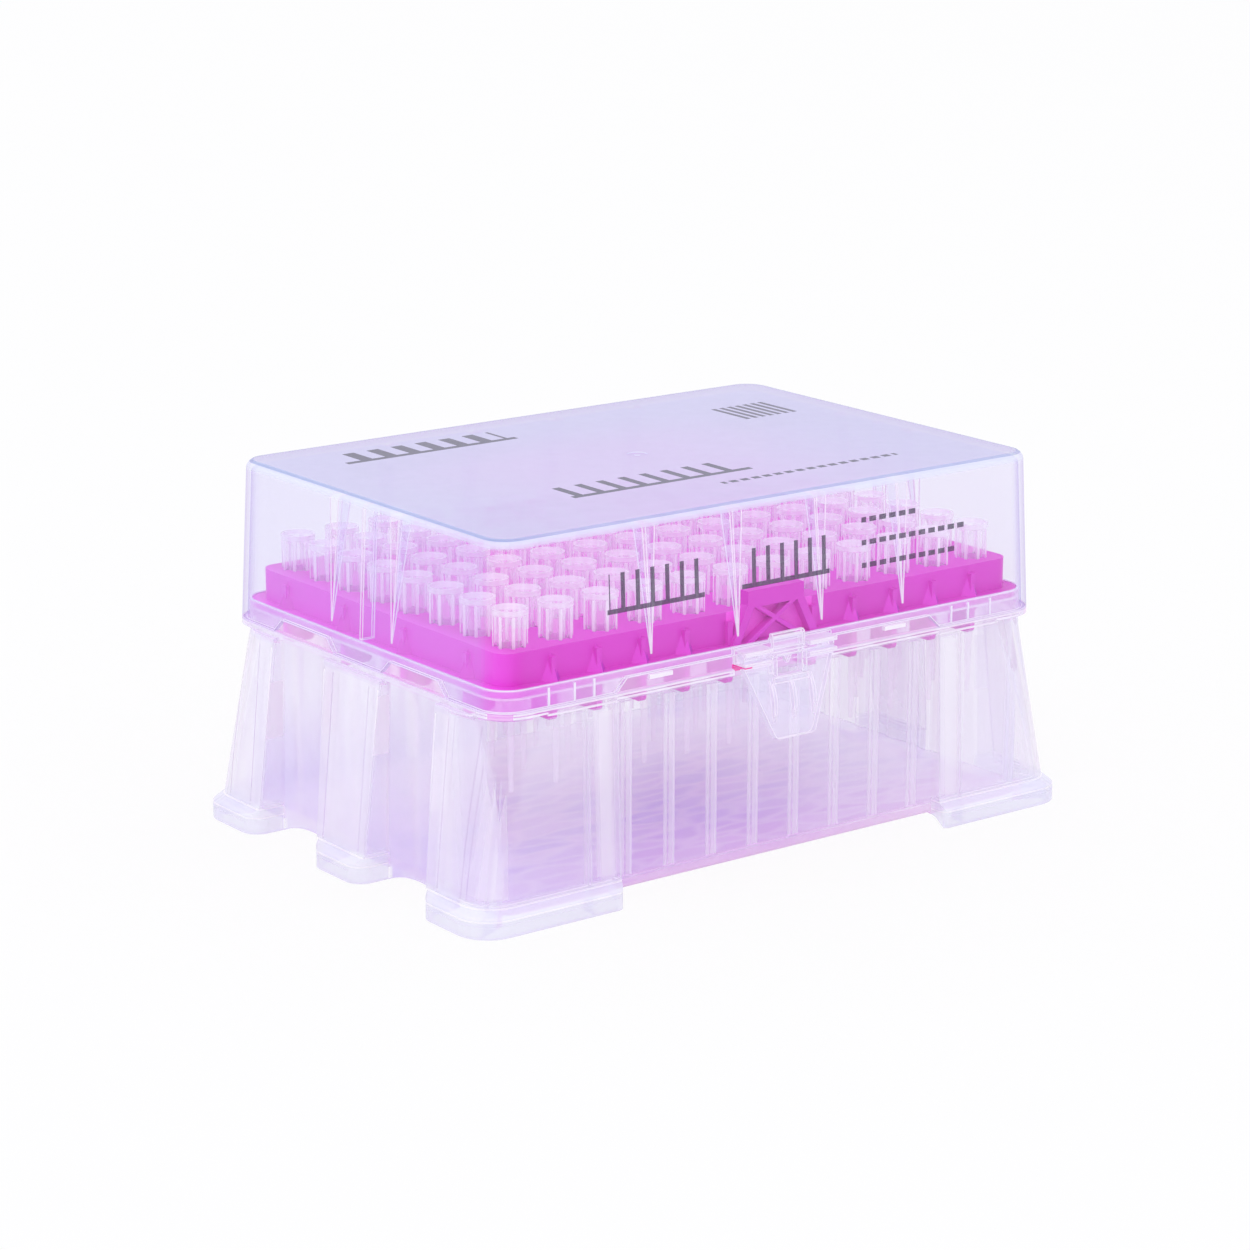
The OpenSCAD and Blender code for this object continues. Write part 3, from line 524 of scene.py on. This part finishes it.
def rim_glow(coat):
    """The rim glows with the rack's colour in patches, deepest at the front left corner."""
    g, x, y, z = coat.graph, coat.x, coat.y, coat.z
    rim = g.times(g.smooth(z, SKIN_TOP, RIM_FADE), g.below(z, RIM_TOP))
    rim = g.times(rim, g.below(g.size(y), RIM_Y), g.below(g.size(x), RIM_X))
    patches = g.smooth(g.noise(coat.coords, 85.0, 1.0), 0.52, 0.62, 0.0, 0.4)
    deep = g.most(patches, g.times(g.smooth(x, -30.0, -52.0), g.smooth(y, -24.0, -36.0)))
    glow = g.mix(deep, rgb(0.97, 0.76, 0.98), rgb(0.90, 0.28, 0.88))
    coat.lay(rim, glow, g.smooth(deep, 0.0, 1.0, 0.34, 0.5))


def rim_guides(coat):
    """The raised guides on the front of the rim carry a painted highlight."""
    g = coat.graph
    guides = g.times(g.within(coat.y, *GUIDE_FACE), g.within(coat.z, *GUIDE_HEIGHT))
    # painted highlight on the raised guides
    coat.lay(guides, rgb(1.0, 0.97, 1.0), 0.8)


def floor_facets(coat):
    """Painted light and shade: the rack's violet cast on the floor in crossing facets, paler to the back and
    the right, pinker in front.
    """
    g, x, y = coat.graph, coat.x, coat.y
    spread = g.add("ShaderNodeMapping", {"Vector": coat.coords, "Scale": (0.6, 1.8, 1.0)}).outputs[0]
    wobble = g.noise(coat.coords, 70.0, output="Color")
    bent = g.vector("MULTIPLY_ADD", wobble, (4 * MM, 4 * MM, 0.0), spread)
    cell_colour = g.voronoi(bent, FACETS_PER_METRE, "F1")["Color"]
    cell_tone = g.add("ShaderNodeSeparateColor", {0: cell_colour}).outputs[0]
    seam = g.smooth(g.voronoi(bent, FACETS_PER_METRE, "DISTANCE_TO_EDGE")["Distance"], 0.22, 0.0)
    pale = g.most(g.smooth(y, -24.0, 36.0), g.smooth(x, -10.0, 50.0, 0.0, 0.9))
    near = g.times(g.smooth(y, -14.0, -38.0), g.smooth(x, -55.0, -20.0, 0.35, 1.0))
    tone = g.mix(pale, rgb(0.57, 0.43, 0.94), rgb(0.78, 0.73, 0.95))
    tone = g.mix(g.times(near, 0.8), tone, rgb(0.78, 0.40, 0.84))
    tone = g.mix(g.times(cell_tone, 0.62), tone, rgb(0.90, 0.74, 0.98))
    tone = g.mix(g.times(seam, 0.42), tone, rgb(0.97, 0.92, 1.0))
    inside = g.times(g.below(g.size(x), FLOOR_X), g.below(g.size(y), FLOOR_Y))
    inside = g.times(inside, g.within(coat.z, 0.0, FLOOR_TOP))
    # painted light and shade: the rack's violet cast on the inner floor
    coat.tint(inside, tone)
    more = g.math("SUBTRACT", g.smooth(pale, 0.0, 1.0, 0.80, 0.50), coat.alpha)
    coat.alpha = g.math("MULTIPLY_ADD", inside, more, coat.alpha)


def skirting(coat):
    """The floor's front edge glows pink."""
    g = coat.graph
    front = g.times(in_box(coat), g.within(coat.y, -BOX_Y, SKIRTING_BACK), g.within(coat.z, UNDER, FLOOR_TOP))
    coat.lay(front, rgb(0.88, 0.62, 0.92), 0.4)


def red_glint(coat):
    """A small red glint on the rim beside the latch."""
    g = coat.graph
    glint = g.times(g.within(coat.x, *GLINT_ALONG), g.within(coat.z, *GLINT_HEIGHT))
    glint = g.times(glint, g.below(coat.y, GLINT_FRONT))
    coat.lay(glint, rgb(0.95, 0.01, 0.35), 0.9)


LID_FEATURES = (lid_tint, lid_edge, front_marks, top_marks)
BASE_FEATURES = (
    leg_skins,
    front_leg_webs,
    leg_lines,
    foot_lines,
    flutes,
    violet_light_on_walls,
    rim_glow,
    rim_guides,
    floor_facets,
    skirting,
    red_glint,
)


# ---- tips and rack ----


def tip_material():
    """Clear tips with painted highlights on their fins and rims. The radius is the distance from a tip's own
    axis.
    """
    g = Graph("clear_tips")
    coords, x, y, z = g.place()
    facing = g.facing()
    cloud = g.noise(coords, 220.0)
    squares = [g.math("POWER", g.off_grid(v, TIP_PITCH), 2.0) for v in (x, y)]
    radius = g.math("SQRT", g.math("ADD", *squares))
    fins = g.times(g.above(radius, TIP_FIN_RADIUS), g.within(z, *TIP_FINS))
    rim = g.smooth(z, *TIP_RIM)
    alpha = g.math("MULTIPLY_ADD", g.times(facing, facing), 0.5, 0.13)
    alpha = g.uneven(alpha, cloud)
    # painted highlights: milkier on the rims and the fins
    alpha = g.most(alpha, g.times(rim, 0.42), g.times(fins, 0.6))
    colour = g.mix(g.smooth(z, 44.5, 49.5), rgb(1.0, 0.90, 1.0), rgb(1.0, 0.94, 1.0))
    # painted highlight: brighter colour on the fins
    colour = g.mix(fins, colour, BRIGHT)
    roughness = g.smooth(cloud, 0.3, 0.7, 0.2, 0.32)
    shader = g.plastic(colour, roughness, g.bump(cloud, 0.0002), Alpha=g.least(alpha, 1.0))
    return g.finish_clear(shader)


def rack_material():
    """Satin magenta with painted highlights on its edges, painted light that pales its left end and the panel
    behind the braces, and painted light and shade on the gussets.
    """
    g = Graph("rack_magenta")
    coords, x, y, z = g.place()
    edge_mask, soft_normal = g.edges(0.13)
    cloud = g.noise(coords, 45.0, 3.0)
    body = g.mix(g.smooth(cloud, 0.3, 0.7), rgb(0.75, 0.034, 0.58), rgb(0.80, 0.045, 0.64))
    # painted light: paler at the left end, standing in for the lid's haze seen in front of it at grazing
    # sight
    body = g.mix(g.times(g.smooth(x, -50.0, -56.0), 0.7), body, rgb(0.98, 0.11, 0.90))

    # painted light and shade on the gussets' slanting faces: darker on faces turned to the right, lighter on
    # faces turned to the left
    facing_x, facing_y = g.normal()[:2]
    straight = g.most(g.below(g.size(x), RACK_STRAIGHT_X), g.below(g.size(y), RACK_STRAIGHT_Y))
    slanting = g.times(straight, g.below(facing_y, -0.35))
    body = g.mix(g.times(slanting, g.above(facing_x, 0.35)), body, rgb(0.60, 0.02, 0.60))
    body = g.mix(g.times(slanting, g.below(facing_x, -0.35)), body, rgb(0.84, 0.045, 0.70))

    # painted light: the panel in the pocket behind the braces is paler, lifting the shade that falls there
    panel = g.times(g.below(g.size(x), PANEL_X), g.within(z, *PANEL_HEIGHT), g.within(y, *PANEL_DEPTH))
    body = g.mix(panel, body, rgb(1.0, 0.12, 0.82))
    # painted highlight along the sharp edges
    body = g.mix(g.smooth(edge_mask, 0.03, 0.35, 0.0, 0.4), body, rgb(1.0, 0.14, 0.78))
    bump = g.bump(g.noise(coords, 700.0), 0.0002, Normal=soft_normal)
    return g.finish(g.plastic(body, g.smooth(cloud, 0.3, 0.7, 0.36, 0.46), bump))


# ---- bright edges ----

SHARP = math.radians(38)
SHORTEST_EDGE = 0.02 * MM
SAME_PLACE = 0.001 * MM
# two faces whose directions nearly cancel out meet in a knife edge
KNIFE_EDGE = 1e-4
# how deep a bead's middle lies, in radii
BEAD_DEPTH = 1.3
# above every piece, in mm, as radii, heights and half sizes are
HIGHEST = 1000.0


def is_sharp(edge):
    """Two faces meet here at an angle, along more than a speck."""
    if len(edge.link_faces) != 2 or edge.calc_length() < SHORTEST_EDGE:
        return False
    return edge.calc_face_angle(0.0) >= SHARP


def bead_on(edge, radius):
    """The corners of a four-sided bead just under the surface along an edge, or none on a knife edge."""
    inward = -(edge.link_faces[0].normal + edge.link_faces[1].normal)
    if inward.length < KNIFE_EDGE:
        return []
    inward.normalize()
    a, b = (v.co.copy() for v in edge.verts)
    side = (b - a).normalized().cross(inward)
    corners = []
    for end in (a, b):
        centre = end + inward * radius * BEAD_DEPTH
        corners += [centre + inward * radius, centre + side * radius]
        corners += [centre - inward * radius, centre - side * radius]
    return corners


def bead_sides(start):
    """The four sides of a bead: its two ends have four corners each, numbered from the start."""
    around = [(k, (k + 1) % 4) for k in range(4)]
    return [(start + a, start + b, start + 4 + b, start + 4 + a) for a, b in around]


def edge_beads(
    node, body, material, label="edge_beads", radius=0.1, heights=(0, HIGHEST), outside=(0, 0)
):
    """Fine beads along a CAD node's sharp edges, between two heights and outside a middle area."""
    low, high = heights
    bm = bmesh.new()
    bm.from_mesh(NODES[node].data)
    bmesh.ops.remove_doubles(bm, verts=bm.verts, dist=SAME_PLACE)
    verts, faces = [], []
    for edge in filter(is_sharp, bm.edges):
        middle = (edge.verts[0].co + edge.verts[1].co) / 2
        in_middle_area = abs(middle.x) < outside[0] * MM and abs(middle.y) < outside[1] * MM
        if in_middle_area or not low * MM <= middle.z < high * MM:
            continue
        corners = bead_on(edge, radius * MM)
        if corners:
            faces += bead_sides(len(verts))
            verts += corners
    bm.free()
    mesh = bpy.data.meshes.new(node + "_" + label)
    mesh.from_pydata(verts, [], faces)
    mesh.materials.append(material)
    obj = bpy.data.objects.new(node + "_" + label, mesh)
    scene.collection.objects.link(obj)
    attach(obj, body)


def dress(node, material):
    """Gives a CAD node its material."""
    mesh = NODES[node].data
    mesh.materials.clear()
    mesh.materials.append(material)


# ---- studio ----

LAMP_TARGET = Vector((0, 0, 0.03))


def lamp(name, at, size, power):
    """A white area lamp, in metres and watts, turned towards the box."""
    data = bpy.data.lights.new(name, "AREA")
    data.shape = "RECTANGLE"
    data.size, data.size_y = size
    data.energy = power
    obj = bpy.data.objects.new(name, data)
    obj.location = at
    obj.rotation_euler = (LAMP_TARGET - Vector(at)).to_track_quat("-Z", "Y").to_euler()
    scene.collection.objects.link(obj)


def surroundings():
    """Soft cool light from all round, behind which the camera sees plain white."""
    world = bpy.data.worlds.new("studio")
    world.use_nodes = True
    scene.world = world
    nodes, links = world.node_tree.nodes, world.node_tree.links
    path = nodes.new("ShaderNodeLightPath")
    tone = nodes.new("ShaderNodeMix")
    tone.data_type = "RGBA"
    tone.inputs[6].default_value = rgb(0.93, 0.92, 0.99)
    tone.inputs[7].default_value = rgb(1.05, 1.05, 1.05)
    background = nodes["Background"]
    background.inputs["Strength"].default_value = 0.95
    links.new(path.outputs["Is Camera Ray"], tone.inputs[0])
    links.new(tone.outputs[2], background.inputs["Color"])


def studio():
    lamp("key", (-0.9, -0.7, 1.3), (1.0, 1.0), 5.0)
    lamp("fill", (0.9, -1.2, 0.9), (1.2, 1.2), 1.2)
    lamp("back", (0.2, 1.4, 1.1), (1.4, 0.9), 2.5)
    surroundings()


def floor():
    """A pale floor that catches faint shadows and is seen nearly white."""
    bpy.ops.mesh.primitive_plane_add(size=12, location=(0, 0, -0.2 * MM))
    obj = bpy.context.object
    obj.name = "floor"
    g = Graph("floor_white")
    coords = g.place()[0]
    grain = g.noise(coords, 30.0)
    colour = g.mix(grain, rgb(0.86, 0.86, 0.87), rgb(0.89, 0.89, 0.9))
    roughness = g.smooth(grain, 0.3, 0.7, 0.4, 0.6)
    bump = g.bump(grain, 0.001)
    lit = g.add("ShaderNodeBsdfDiffuse", {"Color": colour, "Roughness": roughness, "Normal": bump})
    glow = g.add("ShaderNodeEmission", {"Color": WHITE, "Strength": 1.0})
    path = g.add("ShaderNodeLightPath").outputs
    seen = g.most(path["Is Camera Ray"], path["Is Glossy Ray"], path["Is Transmission Ray"])
    obj.data.materials.append(g.finish(g.blend(g.times(seen, 0.9), lit, glow)))


# ---- the scene ----

camera()
studio()
floor()
scene.view_settings.view_transform = "Standard"
# enough for the many clear walls that one line of sight passes
scene.cycles.transparent_max_bounces = 48

LID = clear_plastic(
    "clear_lid",
    haze=rgb(0.70, 0.68, 1.0),
    grazing=rgb(0.63, 0.51, 0.78),
    density=1.1,
    base_alpha=0.012,
    most=0.97,
    through=rgb(0.83, 0.80, 0.97),
    features=LID_FEATURES,
)
BASE = clear_plastic(
    "clear_base",
    haze=rgb(0.90, 0.88, 1.0),
    grazing=rgb(0.90, 0.89, 1.0),
    density=1.4,
    base_alpha=0.04,
    features=BASE_FEATURES,
)
LATCH = clear_plastic(
    "clear_latch",
    haze=rgb(0.90, 0.88, 1.0),
    grazing=rgb(0.92, 0.90, 1.0),
    density=1.3,
    base_alpha=0.16,
)
BEADS = bead_material("bright_edges", rgb(1.0, 0.95, 1.0), rgb(0.90, 0.84, 0.98), 0.8)
FINE_BEADS = bead_material("fine_edges", rgb(0.90, 0.87, 0.96), rgb(0.84, 0.82, 0.94), 0.35)
TIPS = tip_material()

dress("lid", LID)
dress("base", BASE)
dress("latch", LATCH)
dress("tip_rack", rack_material())
for name in NODES:
    if name.startswith("tips_column"):
        dress(name, TIPS)

edge_beads("lid", "lid", BEADS, heights=(0, 63.2))
edge_beads("base", "box", FINE_BEADS, heights=(4.7, 33.5), outside=(57.4, 39.4))
edge_beads("base", "box", BEADS, label="rim_beads", radius=0.2, heights=(34.5, HIGHEST))
edge_beads("latch", "latch", BEADS)
